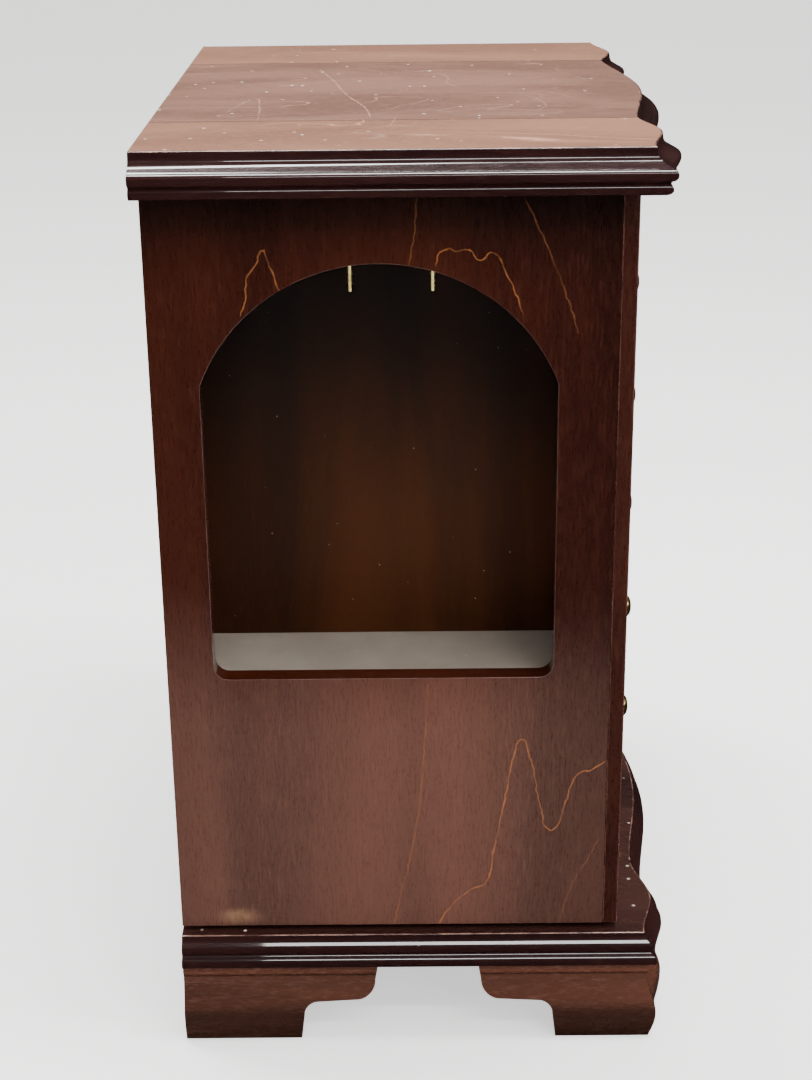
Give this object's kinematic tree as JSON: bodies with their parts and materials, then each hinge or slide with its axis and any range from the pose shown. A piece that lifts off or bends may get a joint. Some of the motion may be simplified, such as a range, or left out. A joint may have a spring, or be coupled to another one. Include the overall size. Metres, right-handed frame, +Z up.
{
  "type": "jewellery chest",
  "caption": "Tabletop wooden jewellery chest with hinged lid, drawers and glazed arched side doors over hanging spaces, on ogee bracket feet.",
  "frame": {"origin": "centre of the bounding box on the floor, under the middle of the chest", "axes": "+Z up, -Y out of the drawer fronts, X across the chest; the door seen in the picture is the one at -X"},
  "size_m": [0.257, 0.1849, 0.3314],
  "materials": {
    "veneer": "stained mahogany veneer under gloss lacquer",
    "moulding": "near-black cherry gloss lacquer",
    "feet": "dark stained gloss lacquer",
    "inside": "dark stained, satin",
    "inner_wood": "plain pale wood",
    "felt": "warm grey flocked felt",
    "brass": "polished brass",
    "glass": "clear",
    "mirror": "silvered"
  },
  "bodies": {
    "case": {"base_plate": "moulding", "foot_front_left": "feet", "foot_front_right": "feet", "foot_back_left": "feet", "foot_back_right": "feet", "glue_blocks": "inner_wood", "back_panel": "inside", "back_posts": "inside", "lower_sides": "inside", "bottom_rail": "veneer", "deck_panel": "inside", "inner_wall_left": "inside", "inner_wall_right": "inside", "front_panel_left": "veneer", "front_panel_right": "veneer", "top_rail": "veneer", "runners": "inner_wood", "well_floor": "inner_wood", "well_felt": "felt", "top_frame": "moulding", "top_strip_left": "moulding", "top_strip_right": "moulding", "ceilings": "inside", "floor_felts": "felt", "necklace_hooks": "brass", "door_hinges": "brass", "lid_hinges": "brass"},
    "door_left": {"door_left": "veneer", "door_edge_left": "moulding", "door_glass_left": "glass", "door_clips_left": "brass", "door_leaves_left": "brass"},
    "door_right": {"door_right": "veneer", "door_edge_right": "moulding", "door_glass_right": "glass", "door_clips_right": "brass", "door_leaves_right": "brass"},
    "lid": {"lid": "moulding", "lid_mirror": "mirror", "lid_leaves": "brass"},
    "drawer_1": {"drawer_1_front": "veneer", "drawer_1_box": "inner_wood", "drawer_1_felt": "felt", "drawer_1_knob": "brass"},
    "drawer_2": {"drawer_2_front": "veneer", "drawer_2_box": "inner_wood", "drawer_2_felt": "felt", "drawer_2_knob": "brass"},
    "drawer_3": {"drawer_3_front": "veneer", "drawer_3_box": "inner_wood", "drawer_3_felt": "felt", "drawer_3_knob": "brass"},
    "drawer_4": {"drawer_4_front": "veneer", "drawer_4_box": "inner_wood", "drawer_4_felt": "felt", "drawer_4_knob": "brass"},
    "drawer_5": {"drawer_5_front": "veneer", "drawer_5_box": "inner_wood", "drawer_5_felt": "felt", "drawer_5_knob": "brass"}
  },
  "joints": [
    {"name": "lid_hinge", "type": "hinge", "parent": "case", "child": "lid", "pos_m": [0, 0.09105, 0.3255], "axis": [-1, 0, 0], "range_deg": [0, 100]},
    {"name": "door_left_hinge", "type": "hinge", "parent": "case", "child": "door_left", "pos_m": [-0.1037, 0.08925, 0.1804], "axis": [0, 0, -1], "range_deg": [0, 110]},
    {"name": "door_right_hinge", "type": "hinge", "parent": "case", "child": "door_right", "pos_m": [0.1037, 0.08925, 0.1804], "axis": [0, 0, 1], "range_deg": [0, 110]},
    {"name": "drawer_1_slide", "type": "slide", "parent": "case", "child": "drawer_1", "axis": [0, -1, 0], "range_m": [0, 0.1]},
    {"name": "drawer_2_slide", "type": "slide", "parent": "case", "child": "drawer_2", "axis": [0, -1, 0], "range_m": [0, 0.1]},
    {"name": "drawer_3_slide", "type": "slide", "parent": "case", "child": "drawer_3", "axis": [0, -1, 0], "range_m": [0, 0.1]},
    {"name": "drawer_4_slide", "type": "slide", "parent": "case", "child": "drawer_4", "axis": [0, -1, 0], "range_m": [0, 0.1]},
    {"name": "drawer_5_slide", "type": "slide", "parent": "case", "child": "drawer_5", "axis": [0, -1, 0], "range_m": [0, 0.1]}
  ]
}
